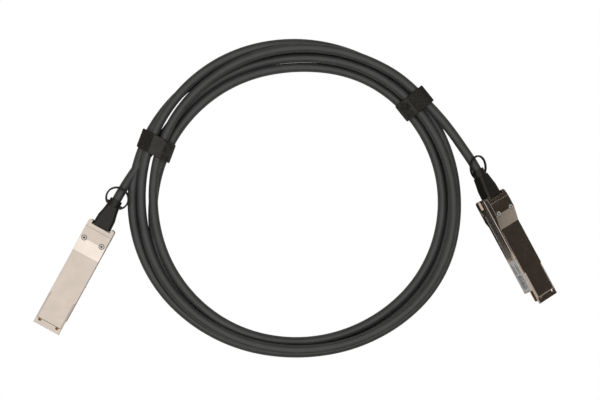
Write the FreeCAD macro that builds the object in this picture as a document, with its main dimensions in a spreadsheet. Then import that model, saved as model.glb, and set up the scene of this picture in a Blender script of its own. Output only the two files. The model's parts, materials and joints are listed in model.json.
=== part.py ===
"""A direct attach copper cable: two pluggable modules joined by a coiled twin-axial cable.

Each plug is modelled in its own frame: x runs from the mating edge back to the cable, y
across, z up out of the screw face, with the origin on the mid-plane at the mating edge.
The whole part has z up from the surface it lies on, x along the longest way of the two
plugs, and its origin in the middle between them. Millimetres.
"""
import FreeCAD, Part
import math
import os
import Sketcher

Vector = FreeCAD.Vector

SIZES = {
    # die-cast shells
    "plug_width": 18.35,
    "plug_height": 8.5,
    "plug_length": 75.2,
    "lid_thick": 1.4,
    "hood_length": 9.5,
    "strip_length": 4.2,
    "strip_drop": 0.3,
    "strip_run": 0.4,
    "guide_hole_dia": 2.0,
    "guide_hole_back": 3.2,
    "guide_hole_in": 2.975,
    "edge_ledge_wide": 1.3,
    "edge_ledge_deep": 0.5,
    "edge_ledge_length": 22.0,
    "head_length": 12.7,
    "ramp_run": 9.5,
    "ramp_rise": 2.5,
    "roof_thick": 1.2,
    "tail_length": 4.7,
    "tail_drop": 0.8,
    "tail_groove": 0.3,
    "belly_length": 14.2,
    "belly_run": 3.5,
    "belly_deep": 1.0,
    "side_wall": 1.8,
    "floor_thick": 1.2,
    "front_wall": 1.2,
    "rear_wall": 1.2,
    "ear_length": 2.2,
    "ear_wide": 2.575,
    "corner_round": 1.5,
    "parting_bevel": 0.25,
    # paddle card and its contacts
    "card_back": 2.0,
    "card_length": 28.0,
    "card_thick": 1.0,
    "card_inset": 1.275,
    "card_side_gap": 0.175,
    "card_fit": 0.05,
    "card_corner": 0.6,
    "pad_count": 19,
    "pad_side": 0.7,
    "pad_wide": 0.5,
    "pad_long": 2.2,
    "pad_thick": 0.08,
    "pad_edge_gap": 0.4,
    # wires, ferrule and strain relief
    "axis_height": 1.8,
    "wire_dia": 1.1,
    "wire_pitch": 3.2,
    "wire_bunch": 1.2,
    "wire_lap": 1.0,
    "wire_clear": 0.12,
    "wire_room": 3.5,
    "ferrule_in": 14.2,
    "ferrule_length": 5.0,
    "ferrule_dia": 6.6,
    "ferrule_wall": 0.5,
    "saddle_length": 3.0,
    "relief_out": 10.8,
    "relief_dia": 6.8,
    # fasteners and label
    "screw_in": 12.4,
    "screw_side": 2.875,
    "screw_head_dia": 3.0,
    "screw_seat_dia": 3.6,
    "screw_head_high": 0.7,
    "screw_stand": 0.2,
    "screw_shank_dia": 1.6,
    "screw_length": 6.5,
    "screw_socket": 1.3,
    "boss_dia": 3.6,
    "label_start": 10.6,
    "label_gap": 1.0,
    "label_high": 6.0,
    "label_thick": 0.1,
    # latch slider, springs and pull grip
    "latch_travel": 1.4,
    "groove_length": 42.2,
    "groove_deep": 1.0,
    "groove_high": 3.4,
    "groove_low": 2.6,
    "strip_thick": 0.5,
    "strip_gap": 0.15,
    "strip_high": 2.8,
    "tab_length": 2.6,
    "tab_out": 0.4,
    "bridge_in": 9.7,
    "bridge_long": 2.0,
    "bridge_thick": 0.6,
    "bridge_lift": 0.2,
    "spring_thick": 0.3,
    "spring_neck_gap": 0.6,
    "spring_wall_gap": 0.675,
    "grip_gap": 0.6,
    "grip_side_gap": 0.5,
    "grip_shoulder_in": 0.5,
    "grip_waist_in": 2.5,
    "grip_high": 8.6,
    "grip_length": 15.4,
    "grip_round": 2.0,
    "grip_bore_gap": 0.3,
    "neck_wide": 7.8,
    "neck_high": 6.8,
    "neck_length": 4.7,
    "peg_dia": 1.8,
    "collar_dia": 8.2,
    "collar_length": 4.5,
    "nub_wide": 10.4,
    "nub_long": 2.4,
    "nub_high": 2.2,
    "ring_dia": 14.5,
    "ring_wire": 1.1,
    "ring_lift": 4.4,
    # cable, coil and straps
    "cable_dia": 6.0,
    "coil_half_long": 105.4,
    "coil_flatten": 3.7,
    "coil_band": 15.7,
    "coil_hole_flatten": 4.6,
    "coil_high": 15.0,
    "coil_slope": 3.5,
    "strap_wide": 12.7,
    "strap_thick": 1.3,
    "soft_gap": 0.3,
}

# Where the pieces lie: heading is the way a plug's cable end points, roll turns its screw
# face away from straight up, and the strap angles are round the coil from +x.
PLUGS = {
    "left": {"front": (-159.5, -52.1), "heading": 61.25, "roll": 0.0},
    "right": {"front": (159.4, -33.9), "heading": 118.3, "roll": 41.0},
}
COIL_CENTRE = (0.5, 31.2)
COIL_HOLE_CENTRE = (1.7, 27.0)
STRAPS = {"left": 159.0, "right": 38.5}

# The cable's free ends past each strain relief: how far each goes on straight along the
# plug's own cable axis, and then its route, as places above the surface.
CABLE_ENDS = {
    "left": {"straight": 12.0, "route": [(-106.4, 43.6, 5.3), (-100.1, 52.7, 4.2)]},
    "right": {"straight": 11.0, "route": [(108.6, 60.7, 11.3), (99.3, 74.0, 11.8), (89.9, 85.5, 12.5)]},
}

doc = FreeCAD.newDocument("direct_attach_cable")
sheet = doc.addObject("Spreadsheet::Sheet", "Sizes")


class Size:
    """A length with the spreadsheet expression that gives it."""

    def __init__(self, value, text):
        self.value = value
        self.text = text

    def combine(self, other, sign, value):
        text = other.text if isinstance(other, Size) else repr(float(other))
        return Size(value, "(%s %s %s)" % (self.text, sign, text))

    def __add__(self, other):
        return self.combine(other, "+", self.value + number(other))

    def __sub__(self, other):
        return self.combine(other, "-", self.value - number(other))

    def __mul__(self, other):
        return self.combine(other, "*", self.value * number(other))

    def __truediv__(self, other):
        return self.combine(other, "/", self.value / number(other))

    def __neg__(self):
        return Size(-self.value, "(0 - %s)" % self.text)


def number(thing):
    return thing.value if isinstance(thing, Size) else float(thing)


def as_size(thing):
    return thing if isinstance(thing, Size) else Size(float(thing), repr(float(thing)))


def fill_sheet():
    for row, (alias, value) in enumerate(SIZES.items(), 1):
        sheet.set("A%d" % row, alias)
        sheet.set("B%d" % row, str(value))
        sheet.setAlias("B%d" % row, alias)
    doc.recompute()
    return {alias: Size(float(sheet.get(alias)), "Sizes." + alias) for alias in SIZES}


S = fill_sheet()

# Heights and places that several pieces share.
TOP = S["plug_height"] / 2
BOTTOM = -TOP
PARTING = TOP - S["lid_thick"]
HALF_WIDTH = S["plug_width"] / 2
TAIL = S["plug_length"]
RAMP_TOP = TAIL - S["head_length"]
RAMP_FOOT = RAMP_TOP - S["ramp_run"]
TAIL_LINE = TAIL - S["tail_length"]
HEAD = TOP + S["ramp_rise"]
BELLY = BOTTOM - S["belly_deep"]
BELLY_START = TAIL - S["belly_length"]
BELLY_FOOT = BELLY_START - S["belly_run"]
EAR_START = TAIL - S["ear_length"]
CAVITY_END = EAR_START - S["rear_wall"]
CAVITY_HALF = HALF_WIDTH - S["side_wall"]
FLOOR = BOTTOM + S["floor_thick"]
BELLY_FLOOR = BELLY + S["floor_thick"]
AXIS = S["axis_height"]
FERRULE_START = TAIL - S["ferrule_in"]
FERRULE_END = FERRULE_START + S["ferrule_length"]
RELIEF_END = TAIL + S["relief_out"]
SCREW_BACK = TAIL - S["screw_in"]
NECK_HALF = S["neck_wide"] / 2
NECK_TOP = AXIS + S["neck_high"] / 2
BRIDGE_LOW = BELLY_FLOOR + S["bridge_lift"]
BRIDGE_HIGH = BRIDGE_LOW + S["bridge_thick"]
BRIDGE_START = TAIL - S["bridge_in"]
BRIDGE_END = BRIDGE_START + S["bridge_long"]
GROOVE_START = TAIL - S["groove_length"]
GROOVE_FLOOR = HALF_WIDTH - S["groove_deep"]
GUIDE_OUT = HALF_WIDTH - S["guide_hole_in"]
SCREW_OUT = HALF_WIDTH - S["screw_side"]
SPRING_NEAR = NECK_HALF + S["spring_neck_gap"]
SPRING_FAR = CAVITY_HALF - S["spring_wall_gap"]
CARD_HALF = HALF_WIDTH - S["card_inset"]
CARD_NARROW_HALF = CAVITY_HALF - S["card_side_gap"]
EAR_GAP = (HALF_WIDTH - S["ear_wide"]) * 2
GRIP_WIDE = EAR_GAP - S["grip_side_gap"] * 2
GROOVE_BASE = -S["groove_low"]
ARM_IN = GROOVE_FLOOR + S["strip_gap"]
ARM_OUT = ARM_IN + S["strip_thick"]
ARM_BASE = GROOVE_BASE + S["soft_gap"]
GRIP_START = EAR_START + S["grip_gap"]
GRIP_END = GRIP_START + S["grip_length"]
COLLAR_END = GRIP_END + S["collar_length"]


def plane(body, role):
    return [feature for feature in body.Origin.OriginFeatures if feature.Role == role][0]


def new_body(name):
    body = doc.addObject("PartDesign::Body", name)
    body.Label = name
    return body


def new_sketch(body, name, role, lift=0.0):
    """A sketch on one of the body's own planes, raised along that plane's normal."""
    sketch = body.newObject("Sketcher::SketchObject", name)
    sketch.AttachmentSupport = [(plane(body, role), "")]
    sketch.MapMode = "FlatFace"
    lift = as_size(lift)
    sketch.AttachmentOffset = FreeCAD.Placement(Vector(0, 0, lift.value), FreeCAD.Rotation())
    sketch.setExpression("AttachmentOffset.Base.z", lift.text)
    return sketch


def pin(sketch, kind, index, end, size):
    """Hold one end of a line at a bound distance from the sketch's origin."""
    size = as_size(size)
    place = sketch.addConstraint(Sketcher.Constraint(kind, -1, 1, index, end, size.value))
    sketch.setExpression("Constraints[%d]" % place, size.text)


def polygon(sketch, points):
    first = sketch.GeometryCount
    flat = [Vector(number(x), number(y), 0) for x, y in points]
    for index, start in enumerate(flat):
        sketch.addGeometry(Part.LineSegment(start, flat[(index + 1) % len(flat)]), False)
    for index in range(len(flat)):
        following = first + (index + 1) % len(flat)
        sketch.addConstraint(Sketcher.Constraint("Coincident", first + index, 2, following, 1))
    for index, (x, y) in enumerate(points):
        pin(sketch, "DistanceX", first + index, 1, x)
        pin(sketch, "DistanceY", first + index, 1, y)
    return sketch


def rectangle(sketch, left, right, low, high):
    return polygon(sketch, [(left, low), (right, low), (right, high), (left, high)])


def circle(sketch, x, y, diameter):
    x, y, diameter = as_size(x), as_size(y), as_size(diameter)
    ring = Part.Circle(Vector(x.value, y.value, 0), Vector(0, 0, 1), diameter.value / 2)
    index = sketch.addGeometry(ring, False)
    pin(sketch, "DistanceX", index, 3, x)
    pin(sketch, "DistanceY", index, 3, y)
    place = sketch.addConstraint(Sketcher.Constraint("Diameter", index, diameter.value))
    sketch.setExpression("Constraints[%d]" % place, diameter.text)
    return sketch


def rounded(sketch, middle, wide, high, radius):
    """A rectangle with round corners, centred across and at height middle."""
    middle, wide, high, radius = [as_size(size) for size in (middle, wide, high, radius)]
    right, top, low = wide / 2, middle + high / 2, middle - high / 2
    x, y0, y1, r = right.value, low.value, top.value, radius.value
    sides = [
        ((-x + r, y0), (x - r, y0)), ((x, y0 + r), (x, y1 - r)),
        ((x - r, y1), (-x + r, y1)), ((-x, y1 - r), (-x, y0 + r)),
    ]
    centres = [(x - r, y0 + r), (x - r, y1 - r), (-x + r, y1 - r), (-x + r, y0 + r)]
    for side, (start, end) in enumerate(sides):
        sketch.addGeometry(Part.LineSegment(Vector(*start, 0), Vector(*end, 0)), False)
        ring = Part.Circle(Vector(*centres[side], 0), Vector(0, 0, 1), r)
        begin = math.radians(-90 + 90 * side)
        sketch.addGeometry(Part.ArcOfCircle(ring, begin, begin + math.pi / 2), False)
    for side in range(4):
        line, arc, after = 2 * side, 2 * side + 1, (2 * side + 2) % 8
        sketch.addConstraint(Sketcher.Constraint("Tangent", line, 2, arc, 1))
        sketch.addConstraint(Sketcher.Constraint("Tangent", arc, 2, after, 1))
    for line, kind in ((0, "Horizontal"), (2, "Vertical"), (4, "Horizontal"), (6, "Vertical")):
        sketch.addConstraint(Sketcher.Constraint(kind, line))
    for arc in (3, 5, 7):
        sketch.addConstraint(Sketcher.Constraint("Equal", 1, arc))
    place = sketch.addConstraint(Sketcher.Constraint("Radius", 1, r))
    sketch.setExpression("Constraints[%d]" % place, radius.text)
    pin(sketch, "DistanceY", 0, 1, low)
    pin(sketch, "DistanceX", 2, 1, right)
    pin(sketch, "DistanceY", 4, 1, top)
    pin(sketch, "DistanceX", 6, 1, -right)
    return sketch


def extrude(body, kind, sketch, length, symmetric=False, reverse=False):
    feature = body.newObject("PartDesign::" + kind, sketch.Name + "_" + kind.lower())
    feature.Profile = sketch
    feature.SideType = "Symmetric" if symmetric else "One side"
    feature.Reversed = reverse
    length = as_size(length)
    feature.Length = length.value
    feature.setExpression("Length", length.text)
    sketch.Visibility = False
    return feature


def pad(body, sketch, length, **options):
    return extrude(body, "Pad", sketch, length, **options)


def pocket(body, sketch, length, **options):
    """Cut along the sketch's plane, and make sure that it takes something away."""
    before = body.Tip
    feature = extrude(body, "Pocket", sketch, length, **options)
    doc.recompute()
    if feature.Shape.Volume >= before.Shape.Volume - 1e-6:
        raise ValueError(feature.Name + " cuts nothing")
    return feature


def fillet(body, radius, wanted):
    """Round the edges of the body's tip whose middle point passes the wanted test."""
    doc.recompute()
    tip = body.Tip
    names = []
    for index, edge in enumerate(tip.Shape.Edges, 1):
        middle = edge.valueAt((edge.FirstParameter + edge.LastParameter) / 2)
        if wanted(edge, middle):
            names.append("Edge%d" % index)
    if not names:
        raise ValueError(body.Name + " has no edge to round")
    feature = body.newObject("PartDesign::Fillet", body.Name + "_round")
    feature.Base = (tip, names)
    feature.Radius = number(radius)
    feature.setExpression("Radius", as_size(radius).text)
    return feature


def bevel_parting(body, name):
    """A small bevel along both sides of a shell where the lid and the trough meet."""
    doc.recompute()
    tip = body.Tip
    names = []
    for index, edge in enumerate(tip.Shape.Edges, 1):
        middle = edge.CenterOfMass
        outside = abs(abs(middle.y) - HALF_WIDTH.value) < 1e-4
        level = abs(middle.z - PARTING.value) < 1e-4 and edge.BoundBox.ZLength < 1e-4
        if outside and level and edge.BoundBox.XLength > S["hood_length"].value:
            names.append("Edge%d" % index)
    bevel = body.newObject("PartDesign::Chamfer", name + "_bevel")
    bevel.Base = (tip, names)
    bevel.Size = S["parting_bevel"].value
    bevel.setExpression("Size", S["parting_bevel"].text)


def upright(edge):
    start, end = edge.Vertexes[0].Point, edge.Vertexes[-1].Point
    return abs(start.x - end.x) < 1e-4 and abs(start.y - end.y) < 1e-4 and abs(start.z - end.z) > 0.5


def rear_corner(edge, middle):
    outside = abs(middle.y) > HALF_WIDTH.value - 0.01
    return upright(edge) and outside and middle.x > S["plug_length"].value - 0.01


def upper_shell(name):
    """The lid: a flat hood over the card edge, a ramp up to the head, and two ears behind."""
    body = new_body(name)
    strip = TOP - S["strip_drop"]
    side = [
        (0.0, PARTING), (S["plug_length"], PARTING), (S["plug_length"], HEAD - S["tail_drop"]),
        (TAIL_LINE, HEAD), (RAMP_TOP, HEAD), (RAMP_FOOT, TOP),
        (S["strip_length"], TOP), (S["strip_length"] - S["strip_run"], strip), (0.0, strip),
    ]
    pad(body, polygon(new_sketch(body, name + "_side", "XZ_Plane"), side), S["plug_width"],
        symmetric=True)
    bevel_parting(body, name)
    fillet(body, S["corner_round"], rear_corner)
    roof = HEAD - S["roof_thick"]
    slope = S["ramp_rise"] / S["ramp_run"]
    inner_start = FERRULE_START - S["wire_room"]
    inner = [
        (inner_start, PARTING - 1.0), (CAVITY_END, PARTING - 1.0), (CAVITY_END, roof),
        (RAMP_TOP, roof), (inner_start, roof - (RAMP_TOP - inner_start) * slope),
    ]
    pocket(body, polygon(new_sketch(body, name + "_head", "XZ_Plane"), inner),
           S["neck_wide"] + S["soft_gap"] * 4, symmetric=True)
    for sign, side_name in ((1, "_ledge_a"), (-1, "_ledge_b")):
        sketch = new_sketch(body, name + side_name, "YZ_Plane")
        edge = HALF_WIDTH * sign
        polygon(sketch, [
            (edge, TOP + 0.1), (edge, TOP - S["edge_ledge_deep"]),
            (edge - S["edge_ledge_wide"] * sign, TOP), (edge - S["edge_ledge_wide"] * sign, TOP + 0.1),
        ])
        pocket(body, sketch, S["edge_ledge_length"], reverse=True)
    cut_ears(body, name)
    neck = new_sketch(body, name + "_neck", "YZ_Plane", CAVITY_END - 0.1)
    rectangle(neck, -NECK_HALF - S["soft_gap"], NECK_HALF + S["soft_gap"],
              PARTING - 1.0, NECK_TOP + S["soft_gap"])
    pocket(body, neck, S["rear_wall"] + 0.2, reverse=True)
    line = new_sketch(body, name + "_line", "XZ_Plane")
    rectangle(line, TAIL_LINE - S["tail_groove"], TAIL_LINE,
              HEAD - S["tail_groove"], HEAD + 0.1)
    pocket(body, line, S["plug_width"] + 1.0, symmetric=True)
    holes = new_sketch(body, name + "_guides", "XY_Plane", TOP + 0.1)
    for sign in (1, -1):
        circle(holes, S["guide_hole_back"], GUIDE_OUT * sign, S["guide_hole_dia"])
    pocket(body, holes, S["lid_thick"] + 0.2)
    seats = new_sketch(body, name + "_seats", "XY_Plane", HEAD + 0.1)
    shanks = new_sketch(body, name + "_shanks", "XY_Plane", HEAD + 0.1)
    for sign in (1, -1):
        out = SCREW_OUT * sign
        circle(seats, SCREW_BACK, out, S["screw_seat_dia"])
        circle(shanks, SCREW_BACK, out, S["screw_shank_dia"] + S["card_fit"] * 2)
    pocket(body, seats, S["screw_head_high"] - S["screw_stand"] + 0.1)
    pocket(body, shanks, HEAD - PARTING + 0.2)
    return body


def cut_ears(body, name):
    """The slot between the two ears at the back, where the grip's neck comes out."""
    slot = new_sketch(body, name + "_ears", "XZ_Plane")
    rectangle(slot, EAR_START, S["plug_length"] + 1.0, BELLY - 1.0, HEAD + 1.0)
    pocket(body, slot, EAR_GAP, symmetric=True)


def lower_shell(name):
    """The trough: belly, side grooves for the latch arms, card slot, saddle and bosses."""
    body = new_body(name)
    side = [
        (S["hood_length"], PARTING), (S["hood_length"], BOTTOM), (BELLY_FOOT, BOTTOM),
        (BELLY_START, BELLY), (S["plug_length"], BELLY), (S["plug_length"], PARTING),
    ]
    pad(body, polygon(new_sketch(body, name + "_side", "XZ_Plane"), side), S["plug_width"],
        symmetric=True)
    bevel_parting(body, name)
    fillet(body, S["corner_round"], rear_corner)
    front = S["hood_length"] + S["front_wall"]
    inner = [
        (front, PARTING + 1.0), (front, FLOOR), (BELLY_START + S["floor_thick"], FLOOR),
        (BELLY_START + S["floor_thick"], BELLY_FLOOR), (CAVITY_END, BELLY_FLOOR),
        (CAVITY_END, PARTING + 1.0),
    ]
    pocket(body, polygon(new_sketch(body, name + "_trough", "XZ_Plane"), inner),
           CAVITY_HALF * 2, symmetric=True)
    cut_ears(body, name)
    neck = new_sketch(body, name + "_neck", "YZ_Plane", CAVITY_END - 0.1)
    rectangle(neck, -NECK_HALF - S["soft_gap"], NECK_HALF + S["soft_gap"],
              BRIDGE_HIGH - S["soft_gap"], PARTING + 1.0)
    pocket(body, neck, S["rear_wall"] + 0.2, reverse=True)
    slot = new_sketch(body, name + "_card_slot", "YZ_Plane", S["hood_length"] - 0.1)
    half_card = S["card_thick"] / 2 + S["card_fit"]
    half_slot = CARD_NARROW_HALF + S["card_fit"]
    rectangle(slot, -half_slot, half_slot, -half_card, half_card)
    pocket(body, slot, S["front_wall"] + 0.2, reverse=True)
    for sign, side_name in ((1, "_groove_a"), (-1, "_groove_b")):
        groove = new_sketch(body, name + side_name, "YZ_Plane", GROOVE_START)
        polygon(groove, [
            (GROOVE_FLOOR * sign, GROOVE_BASE), (HALF_WIDTH * sign + 0.5 * sign, GROOVE_BASE),
            (HALF_WIDTH * sign + 0.5 * sign, GROOVE_BASE + S["groove_high"]),
            (GROOVE_FLOOR * sign, GROOVE_BASE + S["groove_high"]),
        ])
        pocket(body, groove, S["plug_length"] - GROOVE_START + 0.5, reverse=True)
    slide = S["latch_travel"] + S["soft_gap"]
    slots = new_sketch(body, name + "_bridge_slots", "XZ_Plane")
    rectangle(slots, BRIDGE_START - S["soft_gap"], BRIDGE_END + slide,
              BRIDGE_LOW - S["bridge_lift"], GROOVE_BASE + 0.1)
    pocket(body, slots, S["plug_width"] + 1.0, symmetric=True)
    saddle = new_sketch(body, name + "_saddle", "YZ_Plane",
                        FERRULE_START + (S["ferrule_length"] - S["saddle_length"]) / 2)
    rectangle(saddle, -CAVITY_HALF, CAVITY_HALF, FLOOR - 0.1, AXIS)
    pad(body, saddle, S["saddle_length"])
    cradle = new_sketch(body, name + "_cradle", "YZ_Plane", FERRULE_START - 0.1)
    circle(cradle, 0.0, AXIS, S["ferrule_dia"] + S["card_fit"] * 2)
    pocket(body, cradle, S["ferrule_length"] + 0.2, reverse=True)
    bosses = new_sketch(body, name + "_bosses", "XY_Plane", FLOOR)
    for sign in (1, -1):
        circle(bosses, SCREW_BACK, SCREW_OUT * sign, S["boss_dia"])
    pad(body, bosses, PARTING - FLOOR)
    threads = new_sketch(body, name + "_threads", "XY_Plane", PARTING + 0.1)
    for sign in (1, -1):
        circle(threads, SCREW_BACK, SCREW_OUT * sign, S["screw_shank_dia"] + S["card_fit"] * 2)
    depth = S["screw_length"] - (HEAD - PARTING)
    pocket(body, threads, depth + S["screw_stand"] + 0.4)
    return body


def paddle_card(name):
    """The circuit card: wide at the mating edge, narrow where it passes the slot."""
    body = new_body(name)
    start, wide_end = S["card_back"], S["hood_length"] - S["soft_gap"]
    end = start + S["card_length"]
    wide, narrow, corner = CARD_HALF, CARD_NARROW_HALF, S["card_corner"]
    outline = [
        (start, -wide + corner), (start + corner, -wide), (wide_end, -wide),
        (wide_end, -narrow), (end, -narrow), (end, narrow), (wide_end, narrow),
        (wide_end, wide), (start + corner, wide), (start, wide - corner),
    ]
    sketch = new_sketch(body, name + "_outline", "XY_Plane", -S["card_thick"] / 2)
    pad(body, polygon(sketch, outline), S["card_thick"])
    return body


def contact_pads(name):
    """The gold contacts on both faces of the card, at the mating edge."""
    count = int(S["pad_count"].value)
    wide, long, thick = [S[key].value for key in ("pad_wide", "pad_long", "pad_thick")]
    pitch = 2 * (CARD_HALF.value - S["pad_side"].value) / (count - 1)
    half_card = S["card_thick"].value / 2
    start = S["card_back"].value + S["pad_edge_gap"].value
    pads = []
    for index in range(count):
        y = (index - (count - 1) / 2) * pitch - wide / 2
        for z in (half_card, -half_card - thick):
            pads.append(Part.makeBox(long, wide, thick, Vector(start, y, z)))
    return feature(name, Part.makeCompound(pads))


def foil_lead(start, end, half):
    """One foil-wrapped pair: the foil folds round the two conductors in eight flats."""
    run = end - start
    level = run.cross(Vector(0, 0, 1)).normalize()
    upright_way = level.cross(run).normalize()
    corners = []
    for index in range(8):
        turn = math.radians(22.5 + 45 * index)
        corners.append(start + level * (half * math.cos(turn)) + upright_way * (half * math.sin(turn)))
    return Part.Face(Part.makePolygon(corners + corners[:1])).extrude(run)


def wire_pairs(name):
    """Eight twin-axial leads that fan out from the ferrule to the card, four on each face."""
    back = S["card_back"].value + S["card_length"].value
    pair_end = FERRULE_START.value + S["ferrule_length"].value / 2
    half = S["wire_dia"].value / 2
    card_face = S["card_thick"].value / 2
    leads = []
    for row in (1, -1):
        for column in range(4):
            across = column - 1.5
            on_card = Vector(back - S["wire_lap"].value, across * S["wire_pitch"].value,
                             row * (card_face + half + S["wire_clear"].value))
            bunched = Vector(pair_end, across * S["wire_bunch"].value,
                             AXIS.value + row * S["wire_bunch"].value / 2)
            leads.append(foil_lead(on_card, bunched, half))
    return feature(name, Part.makeCompound(leads))


def tube_body(name, start, length, outer, inner=None):
    """A round piece on the cable's axis."""
    body = new_body(name)
    sketch = new_sketch(body, name + "_round", "YZ_Plane", start)
    circle(sketch, 0.0, AXIS, outer)
    if inner is not None:
        circle(sketch, 0.0, AXIS, inner)
    pad(body, sketch, length)
    return body


def crimp_ferrule(name):
    bore = S["ferrule_dia"] - S["ferrule_wall"] * 2
    return tube_body(name, FERRULE_START, S["ferrule_length"], S["ferrule_dia"], bore)


def strain_relief(name):
    return tube_body(name, FERRULE_END, RELIEF_END - FERRULE_END, S["relief_dia"])


def latch_slider(name):
    """Two arms in the side grooves with turned-out tabs, joined by a bridge under the cable."""
    body = new_body(name)
    arm_top = ARM_BASE + S["strip_high"]
    tab_end = GROOVE_START + S["soft_gap"] + S["tab_length"]
    start = GROOVE_START + S["soft_gap"]
    arms = new_sketch(body, name + "_arms", "XZ_Plane")
    polygon(arms, [
        (start, ARM_BASE), (BRIDGE_START, ARM_BASE), (BRIDGE_START, BRIDGE_LOW),
        (BRIDGE_END, BRIDGE_LOW), (BRIDGE_END, arm_top), (start, arm_top),
    ])
    pad(body, arms, ARM_OUT * 2, symmetric=True)
    inside = new_sketch(body, name + "_inside", "XZ_Plane")
    rectangle(inside, GROOVE_START - 1.0, BRIDGE_END + 1.0, BRIDGE_HIGH, arm_top + 1.0)
    pocket(body, inside, ARM_IN * 2, symmetric=True)
    tabs = new_sketch(body, name + "_tabs", "XY_Plane", ARM_BASE)
    for sign in (1, -1):
        polygon(tabs, [
            (start, ARM_IN * sign), (tab_end, ARM_IN * sign), (tab_end, ARM_OUT * sign),
            (tab_end - S["tab_length"] / 3, (HALF_WIDTH + S["tab_out"]) * sign),
            (start + S["tab_length"] / 3, (HALF_WIDTH + S["tab_out"]) * sign),
            (start, ARM_OUT * sign),
        ])
    pad(body, tabs, S["strip_high"])
    hole = new_sketch(body, name + "_peg_hole", "XY_Plane", BRIDGE_HIGH + 0.1)
    circle(hole, (BRIDGE_START + BRIDGE_END) / 2, 0.0, S["peg_dia"] + S["card_fit"] * 2)
    pocket(body, hole, S["bridge_thick"] + 0.2)
    return body


def latch_springs(name):
    """Two bent steel leaves between the bridge and the rear wall."""
    start, end = BRIDGE_END.value, CAVITY_END.value
    base, thick = BRIDGE_HIGH.value, S["spring_thick"].value
    middle, rise = (start + end) / 2, S["belly_deep"].value
    low, high = base - thick, base - thick + rise
    leaves = []
    for sign in (1, -1):
        points = [
            Vector(start, 0, low), Vector(middle, 0, high), Vector(end, 0, low),
            Vector(end, 0, low + thick), Vector(middle, 0, high + thick), Vector(start, 0, low + thick),
        ]
        face = Part.Face(Part.makePolygon(points + points[:1]))
        leaf = face.extrude(Vector(0, sign * (SPRING_FAR.value - SPRING_NEAR.value), 0))
        leaf.translate(Vector(0, sign * SPRING_NEAR.value, 0))
        leaves.append(leaf)
    return feature(name, Part.makeCompound(leaves))


def grip_body(name):
    """The moulded grip round the strain relief: neck, wedge, collar and two nubs."""
    body = new_body(name)
    neck_low = BRIDGE_HIGH
    neck = new_sketch(body, name + "_neck", "YZ_Plane", GRIP_START - S["neck_length"])
    rectangle(neck, -NECK_HALF, NECK_HALF, neck_low, NECK_TOP)
    pad(body, neck, S["neck_length"])
    tongue = new_sketch(body, name + "_tongue", "YZ_Plane", BRIDGE_START)
    rectangle(tongue, -NECK_HALF * 0.75, NECK_HALF * 0.75, neck_low,
              BRIDGE_HIGH + S["bridge_thick"])
    pad(body, tongue, GRIP_START - BRIDGE_START)
    peg = new_sketch(body, name + "_peg", "XY_Plane", neck_low)
    circle(peg, (BRIDGE_START + BRIDGE_END) / 2, 0.0, S["peg_dia"])
    pad(body, peg, S["bridge_thick"], reverse=True)
    sections = [
        (0.0, GRIP_WIDE, S["grip_high"]),
        (0.45, GRIP_WIDE - S["grip_shoulder_in"], S["grip_high"]),
        (0.72, GRIP_WIDE - S["grip_waist_in"], S["grip_high"]),
        (1.0, S["collar_dia"], S["collar_dia"]),
    ]
    outlines = []
    for index, (share, wide, high) in enumerate(sections):
        sketch = new_sketch(body, "%s_section_%d" % (name, index), "YZ_Plane",
                            GRIP_START + S["grip_length"] * share)
        rounded(sketch, AXIS, wide, high, S["grip_round"])
        sketch.Visibility = False
        outlines.append(sketch)
    doc.recompute()
    wedge = body.newObject("PartDesign::AdditiveLoft", name + "_wedge")
    wedge.Profile = outlines[0]
    wedge.Sections = outlines[1:]
    wedge.Ruled = True
    nubs = new_sketch(body, name + "_nubs", "XZ_Plane")
    rectangle(nubs, GRIP_END, GRIP_END + S["nub_long"], AXIS - S["nub_high"] / 2,
              AXIS + S["nub_high"] / 2)
    pad(body, nubs, S["nub_wide"], symmetric=True)
    collar = new_sketch(body, name + "_collar", "YZ_Plane", GRIP_END)
    circle(collar, 0.0, AXIS, S["collar_dia"])
    pad(body, collar, S["collar_length"])
    bore = new_sketch(body, name + "_bore", "YZ_Plane", GRIP_START - S["neck_length"] - 0.1)
    circle(bore, 0.0, AXIS, S["relief_dia"] + S["grip_bore_gap"] * 2)
    relief_room = RELIEF_END + S["latch_travel"] * 0.2
    pocket(body, bore, relief_room - GRIP_START + S["neck_length"] + 0.1, reverse=True)
    cable = new_sketch(body, name + "_cable", "YZ_Plane", relief_room - 0.1)
    circle(cable, 0.0, AXIS, S["cable_dia"] + S["grip_bore_gap"] * 2)
    pocket(body, cable, COLLAR_END - relief_room + 1.0, reverse=True)
    return body


def grip_loop(name):
    """The thin loop that springs from the collar's nubs and rises over the cable."""
    radius, wire = S["ring_dia"].value / 2, S["ring_wire"].value / 2
    root_x = GRIP_END.value + wire
    reach = S["nub_wide"].value / 2 - wire
    centre = Vector(root_x + math.sqrt(radius ** 2 - reach ** 2), 0, AXIS.value - wire)
    loop = Part.makeCylinder(radius + wire, 2 * wire, centre)
    loop = loop.cut(Part.makeCylinder(radius - wire, 2 * wire, centre))
    room = S["ring_dia"].value
    ahead = Part.makeBox(room, 2 * room, room, Vector(root_x - room, -room, AXIS.value - room / 2))
    loop = loop.cut(ahead)
    far = centre.x + radius - root_x
    tilt = math.degrees(math.asin(S["ring_lift"].value / far))
    loop.rotate(Vector(root_x, 0, AXIS.value), Vector(0, 1, 0), -tilt)
    return feature(name, loop)


def pull_grip(name):
    """Grip and loop, moulded in one."""
    moulding = doc.addObject("Part::MultiFuse", name)
    moulding.Shapes = [grip_body(name + "_body"), grip_loop(name + "_loop")]
    moulding.Label = name
    return moulding


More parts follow.
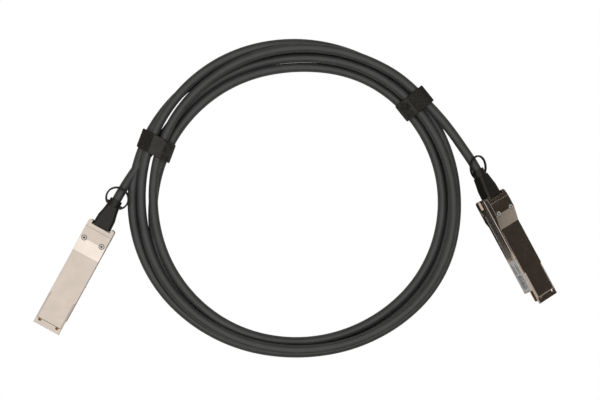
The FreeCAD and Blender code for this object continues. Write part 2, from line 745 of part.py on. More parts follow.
def shell_screws(name):
    """The two screws that hold the lid down, with a round socket in each head."""
    seat = HEAD.value + S["screw_stand"].value - S["screw_head_high"].value
    screws = []
    for sign in (1, -1):
        place = Vector(SCREW_BACK.value, sign * SCREW_OUT.value, seat)
        head = Part.makeCylinder(S["screw_head_dia"].value / 2, S["screw_head_high"].value, place)
        socket_low = place + Vector(0, 0, S["screw_head_high"].value * 0.45)
        socket = Part.makeCylinder(S["screw_socket"].value / 2, S["screw_head_high"].value, socket_low)
        shank = Part.makeCylinder(S["screw_shank_dia"].value / 2, S["screw_length"].value,
                                  place, Vector(0, 0, -1))
        screws.append(head.fuse(shank).cut(socket))
    return feature(name, Part.makeCompound(screws))


def side_label(name):
    """The plain sticker on the side of the lower shell, ahead of the latch tab."""
    body = new_body(name)
    sketch = new_sketch(body, name + "_outline", "XZ_Plane", -HALF_WIDTH)
    middle = (PARTING + BOTTOM) / 2
    rectangle(sketch, S["label_start"], GROOVE_START - S["label_gap"],
              middle - S["label_high"] / 2, middle + S["label_high"] / 2)
    pad(body, sketch, S["label_thick"], reverse=True)
    return body


def feature(name, shape):
    piece = doc.addObject("Part::Feature", name)
    piece.Label = name
    piece.Shape = shape
    return piece


def plug_placement(side):
    """Lay a plug on the surface: rolled about its own length, its lowest edge at z = 0."""
    where = PLUGS[side]
    roll = math.radians(where["roll"])
    lowest = BELLY.value * math.cos(roll) - HALF_WIDTH.value * math.sin(roll)
    turn = FreeCAD.Rotation(Vector(0, 0, 1), where["heading"])
    lean = FreeCAD.Rotation(Vector(1, 0, 0), where["roll"])
    return FreeCAD.Placement(Vector(*where["front"], -lowest), turn.multiply(lean))


PLUG_PIECES = {
    "upper_shell": upper_shell,
    "lower_shell": lower_shell,
    "paddle_card": paddle_card,
    "contact_pads": contact_pads,
    "wire_pairs": wire_pairs,
    "crimp_ferrule": crimp_ferrule,
    "strain_relief": strain_relief,
    "latch_slider": latch_slider,
    "latch_springs": latch_springs,
    "pull_grip": pull_grip,
    "shell_screws": shell_screws,
    "side_label": side_label,
}


def ring_block(grow, low, high):
    """The space between the coil's inner and outer ovals, both let out by grow."""
    solids = []
    half_long = S["coil_half_long"].value
    ovals = (
        (COIL_CENTRE, half_long + grow, S["coil_flatten"].value),
        (COIL_HOLE_CENTRE, half_long - S["coil_band"].value - grow, S["coil_hole_flatten"].value),
    )
    for centre, longest, flatten in ovals:
        oval = Part.Ellipse(Vector(*centre, low), longest, longest - flatten)
        face = Part.Face(Part.Wire(oval.toShape()))
        solids.append(face.extrude(Vector(0, 0, high - low)))
    return solids[0].cut(solids[1])


def strap_slab(angle, wide, low, high):
    """A slab across the coil where a strap goes round it."""
    slab = Part.makeBox(S["coil_half_long"].value * 1.2, wide, high - low, Vector(0, -wide / 2, low))
    turn = FreeCAD.Rotation(Vector(0, 0, 1), angle)
    slab.Placement = FreeCAD.Placement(Vector(*COIL_CENTRE, 0), turn)
    return slab


def cable_coil(name):
    """The outer shape of the coiled cable, with a flat under each strap."""
    high, under = S["coil_high"].value, S["strap_thick"].value + S["soft_gap"].value
    coil = ring_block(0.0, 0.0, high)
    rims = [edge for edge in coil.Edges if edge.BoundBox.ZLength < 0.01]
    coil = coil.makeChamfer(S["coil_slope"].value, rims)
    for angle in STRAPS.values():
        wide = S["strap_wide"].value + 2 * S["soft_gap"].value
        coil = coil.cut(strap_slab(angle, wide, -1.0, under))
    return feature(name, coil)


def strap(name, angle):
    """A hook and loop strap: a flat band round the coil, clear of it on every side."""
    gap, thick = S["soft_gap"].value, S["strap_thick"].value
    high = S["coil_high"].value
    band = ring_block(gap + thick, 0.0, high + gap + thick)
    band = band.cut(ring_block(gap, thick, high + gap))
    return feature(name, band.common(strap_slab(angle, S["strap_wide"].value, 0.0, 2 * high)))


def cable_end(name, side):
    """The cable between a strain relief and the coil: straight runs joined by arcs."""
    placement = plug_placement(side)
    start, straight = RELIEF_END.value, CABLE_ENDS[side]["straight"]
    points = [placement.multVec(Vector(back, 0, AXIS.value)) for back in (start, start + straight)]
    points += [Vector(*place) for place in CABLE_ENDS[side]["route"]]
    edges, reached = [], points[0]
    for before, corner, after in zip(points, points[1:], points[2:]):
        incoming, outgoing = corner - before, after - corner
        half_turn = incoming.getAngle(outgoing) / 2
        reach = 0.45 * min(incoming.Length, outgoing.Length)
        print("%s arc radius %.1f" % (name, reach / math.tan(half_turn)))
        start = corner - incoming.normalize() * reach
        end = corner + outgoing.normalize() * reach
        inward = (outgoing - incoming).normalize()
        depth = reach / math.tan(half_turn) * (1 / math.cos(half_turn) - 1)
        edges.append(Part.LineSegment(reached, start).toShape())
        edges.append(Part.Arc(start, corner + inward * depth, end).toShape())
        reached = end
    edges.append(Part.LineSegment(reached, points[-1]).toShape())
    path = Part.Wire(edges)
    radius = S["cable_dia"].value / 2
    section = Part.Wire(Part.makeCircle(radius, points[0], points[1] - points[0]))
    tube = path.makePipeShell([section], True, True)
    expected = math.pi * radius ** 2 * path.Length
    print("%s length %.1f volume ratio %.4f" % (name, path.Length, tube.Volume / expected))
    return feature(name, tube)


nodes = []
for plug_side in PLUGS:
    lay = plug_placement(plug_side)
    for piece_name, make in PLUG_PIECES.items():
        piece = make(plug_side + "_" + piece_name)
        piece.Placement = lay
        nodes.append(piece)
    nodes.append(cable_end("cable_end_" + plug_side, plug_side))
for strap_side, strap_angle in STRAPS.items():
    nodes.append(strap("strap_" + strap_side, strap_angle))
nodes.append(cable_coil("cable_coil"))
doc.recompute()

for thing in doc.Objects:
    if "Invalid" in thing.State or "Error" in thing.State:
        raise RuntimeError(thing.Label + " is not built")
os.makedirs("parts", exist_ok=True)
for piece in nodes:
    if piece.Shape.isNull() or not piece.Shape.isValid():
        raise RuntimeError(piece.Label + " has no valid shape")
    piece.Shape.exportStep("parts/" + piece.Label + ".step")
print("%d nodes" % len(nodes))
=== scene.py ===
"""Looks for the direct attach copper cable: cord, straps, materials, light and camera."""
import json
import math
import bmesh
import bpy
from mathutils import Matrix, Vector


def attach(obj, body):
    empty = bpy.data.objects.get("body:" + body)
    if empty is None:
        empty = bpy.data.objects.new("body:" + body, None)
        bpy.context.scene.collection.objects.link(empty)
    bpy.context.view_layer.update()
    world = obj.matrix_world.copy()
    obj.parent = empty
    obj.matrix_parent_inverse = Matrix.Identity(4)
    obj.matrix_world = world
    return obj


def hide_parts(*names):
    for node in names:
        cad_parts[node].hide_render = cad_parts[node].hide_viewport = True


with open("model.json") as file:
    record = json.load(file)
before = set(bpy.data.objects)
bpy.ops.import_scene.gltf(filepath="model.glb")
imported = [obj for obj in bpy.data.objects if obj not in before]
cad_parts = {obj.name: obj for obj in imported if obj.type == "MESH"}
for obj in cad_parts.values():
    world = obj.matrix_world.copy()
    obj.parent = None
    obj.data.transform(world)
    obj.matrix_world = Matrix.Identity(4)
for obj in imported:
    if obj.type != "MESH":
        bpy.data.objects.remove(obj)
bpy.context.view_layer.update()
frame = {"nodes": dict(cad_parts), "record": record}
nodes = frame["nodes"]
record = frame["record"]
scene = bpy.context.scene
MM = 0.001
BASE = "plugs_and_cable"
mounts = {mount["name"]: mount for mount in record["mounts"]}


class PlugFrame:
    """A plug's own axes: x back towards the cable, y across, z out of the screw face."""

    def __init__(self, side):
        entry, face = mounts[side + "_cage_entry"], mounts[side + "_heat_face"]
        self.origin = Vector(entry["pos_m"])
        self.x = -Vector(entry["axis"]).normalized()
        self.z = Vector(face["axis"]).normalized()
        self.y = self.z.cross(self.x)

    def at(self, back, across, up):
        """A point from its distances in millimetres along the plug's axes."""
        return self.origin + (self.x * back + self.y * across + self.z * up) * MM


plugs = {side: PlugFrame(side) for side in ("left", "right")}

# ---------------------------------------------------------------- camera
# In metres. The camera looks straight down and sees VIEW_WIDTH across at VIEW_LEVEL.
AIM = (2.97 * MM, 29.9 * MM)
CAMERA_HEIGHT = 1.5
VIEW_WIDTH = 0.384
VIEW_LEVEL = 0.008
SENSOR_MM = 36.0
camera = bpy.data.cameras.new("camera")
camera.lens = SENSOR_MM * (CAMERA_HEIGHT - VIEW_LEVEL) / VIEW_WIDTH
camera.clip_start = 0.05
camera.clip_end = 10.0
camera_object = bpy.data.objects.new("camera", camera)
camera_object.location = (AIM[0], AIM[1], CAMERA_HEIGHT)
scene.collection.objects.link(camera_object)
scene.camera = camera_object
scene.view_settings.view_transform = "Standard"

# ---------------------------------------------------------------- cord
# Lengths of the cord are in millimetres. Places in the coil are given in turns, counted
# clockwise from the coil's left.
CABLE = 6.0
# The cable's middle on a plug's own z axis, which starts at the plug's middle plane.
AXIS = 1.8
# How far back the strain relief ends, and how far the cable goes on straight behind it.
RELIEF_END = 86.0
STRAIGHT = {"left": 12.0, "right": 11.0}
# The rest of each free end, from the plug towards the coil.
ROUTES = {
    "left": [(-106.4, 43.6, 5.3), (-100.1, 52.7, 4.2)],
    "right": [(108.6, 60.7, 11.3), (99.3, 74.0, 11.8), (89.9, 85.5, 12.5)],
}
LAY_CENTRE = (1.05, 31.2)
# How far out the middle of the cable lies, turn by turn, every 30 degrees. These radii aren't
# worked out: they were read off one photograph, at 0.64 mm a pixel, and then changed to bring
# the strands' edges in line with it. The very first isn't used, as the cable swings in from
# farther out there. The last turn ends where the cable leaves for the right plug.
TURNS = [
    [93.5, 92.5, 89.8, 89.1, 92.5, 95.6, 99.3, 101.6, 98.4, 96.3, 97.4, 99.4],
    [99.3, 99.6, 99.6, 98.3, 98.0, 99.6, 101.4, 103.6, 100.5, 98.5, 101.1, 104.8],
    [105.3, 101.8, 97.2, 94.0, 93.6, 95.0, 97.2, 98.9, 97.0, 95.6, 95.8, 96.6],
    [91.5, 87.1, 84.1, 83.2, 87.2, 90.1, 92.6, 93.2, 91.8, 91.5, 92.1, 92.0],
    [91.4, 92.8, 93.6, 95.2, 98.3, 103.6],
]
KNOTS = [radius for turn in TURNS for radius in turn]
KNOTS_A_TURN = 12
# Where the coil begins and ends.
FIRST, LAST = 0.035, 4.39
# The cable swings in from outside. ENTRY_SPAN before ENTRY_END it is ENTRY_SWING farther out.
ENTRY_END = 1 / KNOTS_A_TURN
ENTRY_SWING = 10.2
ENTRY_SPAN = 0.05
ENTRY_CURVE = 1.6
# The order in which the turns came to rest, from the bottom of the pile to the top.
PILE = {2: 1, 3: 2, 1: 3, 0: 4, 4: 5}
# Up to here the cable lies under all the rest.
UNDER_ALL = 0.2


def lay_radius(turns):
    """How far out the cable lies after so many turns."""
    if turns < ENTRY_END:
        return KNOTS[1] + ENTRY_SWING * ((ENTRY_END - turns) / ENTRY_SPAN) ** ENTRY_CURVE
    place = turns * KNOTS_A_TURN
    index = min(int(place), len(KNOTS) - 2)
    share = place - index
    p0 = KNOTS[max(index - 1, 1)]
    p1, p2 = KNOTS[index], KNOTS[index + 1]
    p3 = KNOTS[min(index + 2, len(KNOTS) - 1)]
    bend = 2 * p0 - 5 * p1 + 4 * p2 - p3
    return 0.5 * (2 * p1 + (p2 - p0) * share + bend * share ** 2
                  + (3 * p1 - p0 - 3 * p2 + p3) * share ** 3)


def pile_rank(turns):
    """The cable's first fifth of a turn runs under everything else."""
    return 0 if turns < UNDER_ALL else PILE[int(turns)]


STRAP_ANGLES = {"left": 159.6, "right": 38.8}
TAPE = 1.0
STRAP_WIDE = 12.7
# A leaning strap crosses its own angle this far out.
STRAP_MIDDLE = 97.0
# A strap stops lifting the cable LIFT_REACH away from it, and eases off over LIFT_RUN before that.
LIFT_REACH = 0.075
LIFT_RUN = 0.04
LIFT_GAP = 0.15


def strap_lift(turns):
    """The straps pass under the bundle, which lifts the cable off the surface there."""
    lift = 0.0
    for angle in STRAP_ANGLES.values():
        away = abs((turns - (180 - angle) / 360 + 0.5) % 1 - 0.5)
        share = min(max((LIFT_REACH - away) / LIFT_RUN, 0.0), 1.0)
        lift = max(lift, (TAPE + LIFT_GAP) * share * share * (3 - 2 * share))
    return lift


def lay_height(turns):
    """The height of the cable's middle where it rests on the turns beneath it."""
    rank = pile_rank(turns)
    height = CABLE / 2 + strap_lift(turns)
    phase = turns - int(turns)
    for turn in range(len(TURNS)):
        other = turn + phase
        if FIRST <= other <= LAST and pile_rank(other) < rank:
            apart = abs(lay_radius(turns) - lay_radius(other))
            if apart < CABLE:
                height = max(height, lay_height(other) + math.sqrt(CABLE ** 2 - apart ** 2))
    return height


def smooth_height(turns):
    """The cable is stiff, so it rises and falls over about a twelfth of a turn."""
    reach = [step / 100 for step in range(-4, 5)]
    spots = [min(max(turns + step, FIRST), LAST) for step in reach]
    return sum(lay_height(spot) for spot in spots) / len(spots)


# Points a turn, and the first one that the loop lays. The left free end leads up to it.
STEPS = 30
FIRST_STEP = 2
# A spline cuts the corners of its points, so their radii are divided by this.
CUT_CORNER = (1 + math.cos(2 * math.pi / STEPS)) / 2
coil_points = []
for step in range(FIRST_STEP, int(LAST * STEPS) + 1):
    turns_so_far = step / STEPS
    angle = math.pi - 2 * math.pi * turns_so_far
    radius = lay_radius(turns_so_far) / CUT_CORNER
    coil_points.append(Vector((
        LAY_CENTRE[0] + radius * math.cos(angle),
        LAY_CENTRE[1] + radius * math.sin(angle),
        smooth_height(turns_so_far),
    )) * MM)


def free_end(side):
    """The points from a plug to the coil: two straight behind it, then the chosen route."""
    straight = [plugs[side].at(back, 0, AXIS) for back in (RELIEF_END, RELIEF_END + STRAIGHT[side])]
    return straight + [Vector(place) * MM for place in ROUTES[side]]


route = free_end("left") + coil_points + free_end("right")[::-1]

line = bpy.data.curves.new("cable", "CURVE")
line.dimensions = "3D"
spline = line.splines.new("NURBS")
spline.points.add(len(route) - 1)
for spline_point, place in zip(spline.points, route):
    spline_point.co = (*place, 1.0)
spline.order_u = 3
spline.use_endpoint_u = True
spline.resolution_u = 6
line.bevel_depth = CABLE / 2 * MM
line.bevel_resolution = 6
line.use_fill_caps = True
cable = bpy.data.objects.new("cable", line)
scene.collection.objects.link(cable)


def spline_length():
    """The length of the drawn line: its own NURBS points, read with no thickness."""
    bare = line.copy()
    bare.bevel_depth = 0.0
    probe = bpy.data.objects.new("probe", bare)
    scene.collection.objects.link(probe)
    mesh = bpy.data.meshes.new_from_object(probe)
    total = sum((mesh.vertices[a].co - mesh.vertices[b].co).length for a, b in
                (edge.vertices for edge in mesh.edges))
    bpy.data.objects.remove(probe)
    bpy.data.meshes.remove(mesh)
    bpy.data.curves.remove(bare)
    return total


CABLE_LENGTH = spline_length()
print("cable length %.3f m" % CABLE_LENGTH)
print("cable top %.1f mm" % (max(place.z for place in coil_points) / MM + CABLE / 2))

# ---------------------------------------------------------------- materials
materials = {}


def new_material(name):
    """A material listed under its name, as its nodes, its links and its main shader."""
    made = bpy.data.materials.new(name)
    made.use_nodes = True
    materials[name] = made
    return made.node_tree.nodes, made.node_tree.links, made.node_tree.nodes["Principled BSDF"]


def grained(name, colour, spread, roughness, metallic=0.0, scale=400.0, bump=0.0, stretch=(1, 1, 1),
            rough_spread=0.08, edge=0.0, specular=None):
    """A surface whose colour, roughness and height vary with fine noise, in plug or row axes."""
    tree, links, shader = new_material(name)
    place = tree.new("ShaderNodeTexCoord")
    mapping = tree.new("ShaderNodeMapping")
    mapping.inputs["Scale"].default_value = stretch
    links.new(place.outputs["Object"], mapping.inputs["Vector"])
    noise = tree.new("ShaderNodeTexNoise")
    noise.inputs["Scale"].default_value = scale
    noise.inputs["Detail"].default_value = 4.0
    links.new(mapping.outputs["Vector"], noise.inputs["Vector"])
    ramp = tree.new("ShaderNodeValToRGB")
    ramp.color_ramp.elements[0].position = 0.3
    ramp.color_ramp.elements[1].position = 0.7
    ramp.color_ramp.elements[0].color = (*[c * (1 - spread) for c in colour], 1)
    ramp.color_ramp.elements[1].color = (*[min(1, c * (1 + spread)) for c in colour], 1)
    links.new(noise.outputs["Fac"], ramp.inputs["Fac"])
    links.new(ramp.outputs["Color"], shader.inputs["Base Color"])
    rough = tree.new("ShaderNodeMapRange")
    rough.inputs["To Min"].default_value = max(0.02, roughness - rough_spread)
    rough.inputs["To Max"].default_value = roughness + rough_spread
    links.new(noise.outputs["Fac"], rough.inputs["Value"])
    links.new(rough.outputs["Result"], shader.inputs["Roughness"])
    shader.inputs["Metallic"].default_value = metallic
    if specular is not None:
        shader.inputs["Specular IOR Level"].default_value = specular
    height = tree.new("ShaderNodeBump")
    height.inputs["Strength"].default_value = bump
    height.inputs["Distance"].default_value = 0.0001
    links.new(noise.outputs["Fac"], height.inputs["Height"])
    if edge:
        soft = tree.new("ShaderNodeBevel")
        soft.samples = 6
        soft.inputs["Radius"].default_value = edge
        links.new(soft.outputs["Normal"], height.inputs["Normal"])
    links.new(height.outputs["Normal"], shader.inputs["Normal"])


grained("jacket", (0.080, 0.085, 0.085), 0.14, 0.38, scale=90, bump=0.1, rough_spread=0.08, specular=0.65)
grained("shell", (0.80, 0.71, 0.63), 0.05, 0.10, metallic=1.0, scale=160, bump=0.008, edge=0.0003,
        rough_spread=0.02)
grained("card", (0.26, 0.12, 0.035), 0.2, 0.35, scale=900, bump=0.1, edge=0.0001)
# The pads' gold colour, darkened as painted shade for the pads seen through the holes.
grained("gold", (0.62, 0.34, 0.12), 0.06, 0.28, metallic=1.0, scale=1500, bump=0.05)
grained("foil", (0.55, 0.56, 0.58), 0.08, 0.35, metallic=0.8, scale=1200, bump=0.2)
grained("rubber", (0.02, 0.02, 0.02), 0.1, 0.6, scale=1200, bump=0.2)
grained("steel", (0.62, 0.60, 0.57), 0.05, 0.3, metallic=1.0, scale=900, bump=0.08, edge=0.00008)
grained("screw", (0.95, 0.94, 0.92), 0.03, 0.36, metallic=0.4, scale=1500, bump=0.03, edge=0.0003,
        rough_spread=0.04)
# Near black, for painted shade in the screws' sockets and in the gaps round their heads.
grained("painted_shade", (0.012, 0.011, 0.010), 0.1, 0.6, scale=1500, bump=0.05)
grained("grip", (0.017, 0.017, 0.0135), 0.12, 0.42, scale=1400, bump=0.15, edge=0.0004)
grained("film", (0.86, 0.87, 0.87), 0.03, 0.4, scale=600, bump=0.05)
grained("ink", (0.10, 0.11, 0.12), 0.05, 0.5, scale=900, bump=0.02)
grained("tape", (0.036, 0.035, 0.028), 0.7, 0.5, scale=380, bump=1.6, rough_spread=0.2, specular=0.6)
grained("hooks", (0.032, 0.031, 0.026), 0.7, 0.7, scale=1100, bump=1.0, rough_spread=0.1, specular=0.35)

CAD_LOOKS = {
    "upper_shell": "shell", "lower_shell": "shell", "paddle_card": "card", "contact_pads": "gold",
    "wire_pairs": "foil", "crimp_ferrule": "steel", "strain_relief": "rubber",
    "latch_slider": "steel", "latch_springs": "steel", "pull_grip": "grip",
    "shell_screws": "screw", "side_label": "film",
}
for side in plugs:
    for piece, look in CAD_LOOKS.items():
        node = nodes[side + "_" + piece]
        node.data.materials.clear()
        node.data.materials.append(materials[look])

line.materials.append(materials["jacket"])

# ---------------------------------------------------------------- makers of small meshes


def mesh_object(name, mesh_bm, look, smooth=True):
    """An object in the scene, made from a finished mesh and given one material."""
    mesh = bpy.data.meshes.new(name)
    mesh_bm.to_mesh(mesh)
    mesh_bm.free()
    if smooth:
        for face in mesh.polygons:
            face.use_smooth = True
    made = bpy.data.objects.new(name, mesh)
    scene.collection.objects.link(made)
    mesh.materials.append(materials[look])
    return made


def band(name, angle, loop, look, closed=True, lean=0.0):
    """A tape that follows a loop of (radius, height) points round the bundle, square or leaning."""
    turn = math.radians(angle)
    out = Vector((math.cos(turn), math.sin(turn), 0))
    along = Vector((-math.sin(turn), math.cos(turn), 0))
    centre = Vector((*LAY_CENTRE, 0))
    tape = bmesh.new()
    rows = []
    slices = 7
    for radius, height in loop:
        row = []
        for index in range(slices):
            share = index / (slices - 1) - 0.5
            shift = STRAP_WIDE * share + lean * (STRAP_MIDDLE - radius)
            place = centre + out * radius + along * shift + Vector((0, 0, height))
            row.append(tape.verts.new(place * MM))
        rows.append(row)
    count = len(rows) if closed else len(rows) - 1
    for index in range(count):
        here, there = rows[index], rows[(index + 1) % len(rows)]
        for edge in range(slices - 1):
            tape.faces.new((here[edge], here[edge + 1], there[edge + 1], there[edge]))
    bmesh.ops.recalc_face_normals(tape, faces=tape.faces)
    made = mesh_object(name, tape, look)
    thicken = made.modifiers.new("thick", "SOLIDIFY")
    thicken.thickness = TAPE * MM
    thicken.offset = 0.0
    round_off = made.modifiers.new("round", "SUBSURF")
    round_off.levels = 2
    round_off.render_levels = 2
    return made


def plug_boxes(name, plug, boxes, look):
    """Thin raised blocks given along a plug's own axes, in millimetres."""
    blocks = bmesh.new()
    for (x0, x1), (y0, y1), (z0, z1) in boxes:
        corners = [blocks.verts.new(plug.at(x, y, z)) for x in (x0, x1) for y in (y0, y1) for z in (z0, z1)]
        for face in ((0, 1, 3, 2), (4, 6, 7, 5), (0, 4, 5, 1), (2, 3, 7, 6), (0, 2, 6, 4), (1, 5, 7, 3)):
            blocks.faces.new([corners[index] for index in face])
    bmesh.ops.recalc_face_normals(blocks, faces=blocks.faces)
    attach(mesh_object(name, blocks, look, smooth=False), BASE)


def plug_disc(name, plug, spots, ring, look, lobes=0):
    """Discs or rings that face a plug's z axis: one at each (back, across) spot."""
    inner, outer, low, thick = ring["inner"], ring["outer"], ring["low"], ring["thick"]
    disc = bmesh.new()
    around = 48
    for back, across in spots:
        rows = []
        for radius, level in ((inner, low), (inner, low + thick), (outer, low + thick), (outer, low)):
            row = []
            for index in range(around):
                turn = 2 * math.pi * index / around
                wave = 1 + LOBE_DEPTH * math.cos(lobes * turn) if lobes and radius == outer else 1
                row.append(disc.verts.new(plug.at(back + radius * wave * math.cos(turn),
                                                  across + radius * wave * math.sin(turn), level)))
            rows.append(row)
        for side_of_ring in range(4):
            here, there = rows[side_of_ring], rows[(side_of_ring + 1) % 4]
            for index in range(around):
                after = (index + 1) % around
                disc.faces.new((here[index], here[after], there[after], there[index]))
    bmesh.ops.recalc_face_normals(disc, faces=disc.faces)
    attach(mesh_object(name, disc, look, smooth=False), BASE)


# ---------------------------------------------------------------- label bars, and painted shade at the screws
# Millimetres along a plug's axes. The print is a thin layer that starts just under the face.
LABEL_FACE = 9.275
PRINT_LAYER = (LABEL_FACE - 0.01, LABEL_FACE + 0.02)
BAR_SPAN = (-2.9, 0.4)
SCREW_SPOTS = [(62.8, 6.3), (62.8, -6.3)]
# Each screw head gets a dark lobed disc, painted shade in its socket, and a dark ring round it, painted
# shade in the gap between head and seat.
SOCKET = {"inner": 0.02, "outer": 0.56, "low": 6.57, "thick": 0.06}
SOCKET_LOBES = 6
LOBE_DEPTH = 0.12
SHADOW = {"inner": 1.52, "outer": 1.78, "low": 6.26, "thick": 0.03}
# Each bar's start and width, and then the rows of print as where they run and how high.
BARS = [(12.2, 0.35), (12.9, 0.2), (13.4, 0.5), (14.3, 0.2), (14.8, 0.35), (15.5, 0.2), (16.0, 0.6),
        (17.0, 0.2), (17.5, 0.35), (18.3, 0.5), (19.2, 0.2), (19.7, 0.35), (20.4, 0.2), (20.9, 0.6)]
LINES = [((22.6, 30.2), (-2.9, -2.5)), ((22.6, 28.6), (-1.9, -1.5)), ((12.2, 21.5), (1.0, 1.3)),
         ((22.6, 29.6), (0.4, 0.8)), ((22.6, 27.4), (1.3, 1.6))]
for side, plug in plugs.items():
    print_blocks = [((at, at + wide), PRINT_LAYER, BAR_SPAN) for at, wide in BARS]
    print_blocks += [(along, PRINT_LAYER, up) for along, up in LINES]
    plug_boxes(side + "_label_bars", plug, print_blocks, "ink")
    plug_disc(side + "_screw_socket_shade", plug, SCREW_SPOTS, SOCKET, "painted_shade", lobes=SOCKET_LOBES)
    plug_disc(side + "_screw_shadows", plug, SCREW_SPOTS, SHADOW, "painted_shade")

# ---------------------------------------------------------------- straps
# Points round one strand, and round the whole loop of tape.
AROUND_STRAND = 24
AROUND_BUNDLE = 28
# The slack under the tape, from the cable to the tape, and in all from the cable to the flap.
FLOOR_GAP = 0.05
INNER_GAP = 0.1
OUTER_GAP = 0.15
TINY = 1e-9


def strands_at(angle):
    """Where the cable's middle is, turn by turn, as (radius, height) at an angle."""
    first = (180 - angle) / 360
    places = [min(first + turn, LAST) for turn in range(len(TURNS))]
    return [(lay_radius(place), smooth_height(place)) for place in places if place >= FIRST]


def hull_of(spots):
    """The convex outline of some (radius, height) points, in order."""
    spots = sorted(set(spots))
    hull = []
    for walk in (spots, spots[::-1]):
        part = []
        for spot in walk:
            while len(part) > 1:
                (ax, ay), (bx, by) = part[-2], part[-1]
                if (bx - ax) * (spot[1] - ay) - (by - ay) * (spot[0] - ax) > 0:
                    break
                part.pop()
            part.append(spot)
        hull += part[:-1]
    return hull


def evenly(hull, around):
    """The same outline as evenly spaced points."""
    lengths = [math.dist(spot, hull[(index + 1) % len(hull)]) for index, spot in enumerate(hull)]
    step = sum(lengths) / around
    loop, index, walked = [], 0, 0.0
    for number in range(around):
        while walked + lengths[index] < number * step - TINY:
            walked += lengths[index]
            index += 1
        share = (number * step - walked) / lengths[index]
        here, there = hull[index], hull[(index + 1) % len(hull)]
        loop.append((here[0] + (there[0] - here[0]) * share, here[1] + (there[1] - here[1]) * share))
    return loop


def wrap(strands, clearance):
    """The tight loop round a bundle of strands, kept above the surface."""
    spots = []
    lowest = TAPE / 2 + FLOOR_GAP
    for radius, height in strands:
        for index in range(AROUND_STRAND):
            turn = 2 * math.pi * index / AROUND_STRAND
            spots.append((radius + clearance * math.cos(turn),
                          max(height + clearance * math.sin(turn), lowest)))
    return evenly(hull_of(spots), AROUND_BUNDLE)


def strap(side, flap_start, flap_end, tail, lean=0.0):
    """The tape round the bundle and, on top of it, the flap that its hooks hold down.

    The flap runs from one point of the loop to another, and its tail ends (out, up) from there.
    """
    strands = strands_at(STRAP_ANGLES[side])
    inner = wrap(strands, CABLE / 2 + TAPE / 2 + INNER_GAP)
    outer = wrap(strands, CABLE / 2 + TAPE * 1.5 + OUTER_GAP)
    count = len(outer)
    flap = [outer[index % count] for index in range(flap_start, flap_end)]
    flap = [inner[flap_start % count]] + flap + [(flap[-1][0] + tail[0], flap[-1][1] + tail[1])]
    return [band(side + "_strap", STRAP_ANGLES[side], inner, "tape", lean=lean),
            band(side + "_strap_flap", STRAP_ANGLES[side], flap, "hooks", closed=False, lean=lean)]


straps = {
    "left": strap("left", flap_start=8, flap_end=19, tail=(-1.2, 0.9), lean=0.13),
    "right": strap("right", flap_start=6, flap_end=22, tail=(-1.0, -0.4)),
}
for side, layers in straps.items():
    for layer in layers:
        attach(layer, BASE)
    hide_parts("strap_" + side)

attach(cable, BASE)
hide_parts("cable_coil", "cable_end_left", "cable_end_right")
tuple(plugs["left"].at(RELIEF_END, 0, AXIS))

# ---------------------------------------------------------------- floor, light and surroundings
FLOOR_REACH = 1.5
FLOOR_DROP = 0.0002


def paper():
    """White to the camera, warm grey in reflections and pale for any other light."""
    tree, links, shader = new_material("paper")
    shader.inputs["Base Color"].default_value = (0.85, 0.85, 0.85, 1)
    shader.inputs["Roughness"].default_value = 0.9
    glow = tree.new("ShaderNodeEmission")
    glow.inputs["Color"].default_value = (1, 1, 1, 1)
    glow.inputs["Strength"].default_value = 1.0
    path = tree.new("ShaderNodeLightPath")
    mix = tree.new("ShaderNodeMixShader")
    links.new(path.outputs["Is Camera Ray"], mix.inputs["Fac"])
    dim = tree.new("ShaderNodeBsdfDiffuse")
    dim.inputs["Color"].default_value = (0.8, 0.77, 0.73, 1)
    mirrored = tree.new("ShaderNodeMixShader")
    links.new(path.outputs["Is Glossy Ray"], mirrored.inputs["Fac"])
    links.new(shader.outputs["BSDF"], mirrored.inputs[1])
    links.new(dim.outputs["BSDF"], mirrored.inputs[2])
    links.new(mirrored.outputs["Shader"], mix.inputs[1])
    links.new(glow.outputs["Emission"], mix.inputs[2])
    links.new(mix.outputs["Shader"], tree["Material Output"].inputs["Surface"])


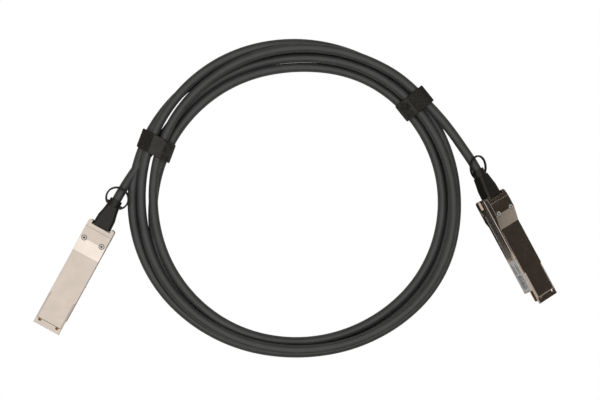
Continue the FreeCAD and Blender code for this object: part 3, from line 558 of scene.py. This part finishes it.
paper()
floor_bm = bmesh.new()
bmesh.ops.create_grid(floor_bm, x_segments=4, y_segments=4, size=FLOOR_REACH)
floor = mesh_object("floor", floor_bm, "paper", smooth=False)
floor.location = (0, 0, -FLOOR_DROP)

# Dark up to 30 degrees above the horizon and brightest from 64 degrees up, by the height of
# the direction. The camera itself sees plain white.
world = bpy.data.worlds.new("studio")
scene.world = world
world.use_nodes = True
sky = world.node_tree
background = sky.nodes["Background"]
where = sky.nodes.new("ShaderNodeTexCoord")
split = sky.nodes.new("ShaderNodeSeparateXYZ")
tone = sky.nodes.new("ShaderNodeValToRGB")
tone.color_ramp.elements[0].position = 0.50
tone.color_ramp.elements[0].color = (0.04, 0.035, 0.03, 1)
tone.color_ramp.elements[1].position = 0.90
tone.color_ramp.elements[1].color = (0.84, 0.82, 0.80, 1)
sky.links.new(where.outputs["Generated"], split.inputs["Vector"])
sky.links.new(split.outputs["Z"], tone.inputs["Fac"])
seen = sky.nodes.new("ShaderNodeLightPath")
backdrop = sky.nodes.new("ShaderNodeMix")
backdrop.data_type = "RGBA"
colours = [socket for socket in backdrop.inputs if socket.type == "RGBA"]
colours[1].default_value = (1, 1, 1, 1)
sky.links.new(seen.outputs["Is Camera Ray"], backdrop.inputs[0])
sky.links.new(tone.outputs["Color"], colours[0])
mixed = next(socket for socket in backdrop.outputs if socket.type == "RGBA")
sky.links.new(mixed, background.inputs["Color"])
background.inputs["Strength"].default_value = 1.0


def area_light(name, place, aim, size, power):
    """A rectangular lamp that points from its place at its aim."""
    light = bpy.data.lights.new(name, "AREA")
    light.shape = "RECTANGLE"
    light.size, light.size_y = size
    light.energy = power
    lamp = bpy.data.objects.new(name, light)
    lamp.location = place
    lamp.rotation_euler = (Vector(aim) - Vector(place)).to_track_quat("-Z", "Y").to_euler()
    scene.collection.objects.link(lamp)


area_light("key", (-0.35, -0.75, 1.25), (0, 0, 0), (0.8, 0.6), 0.7)
area_light("left", (-0.9, 0.15, 0.55), (0.15, -0.03, 0.01), (0.5, 0.3), 0.20)
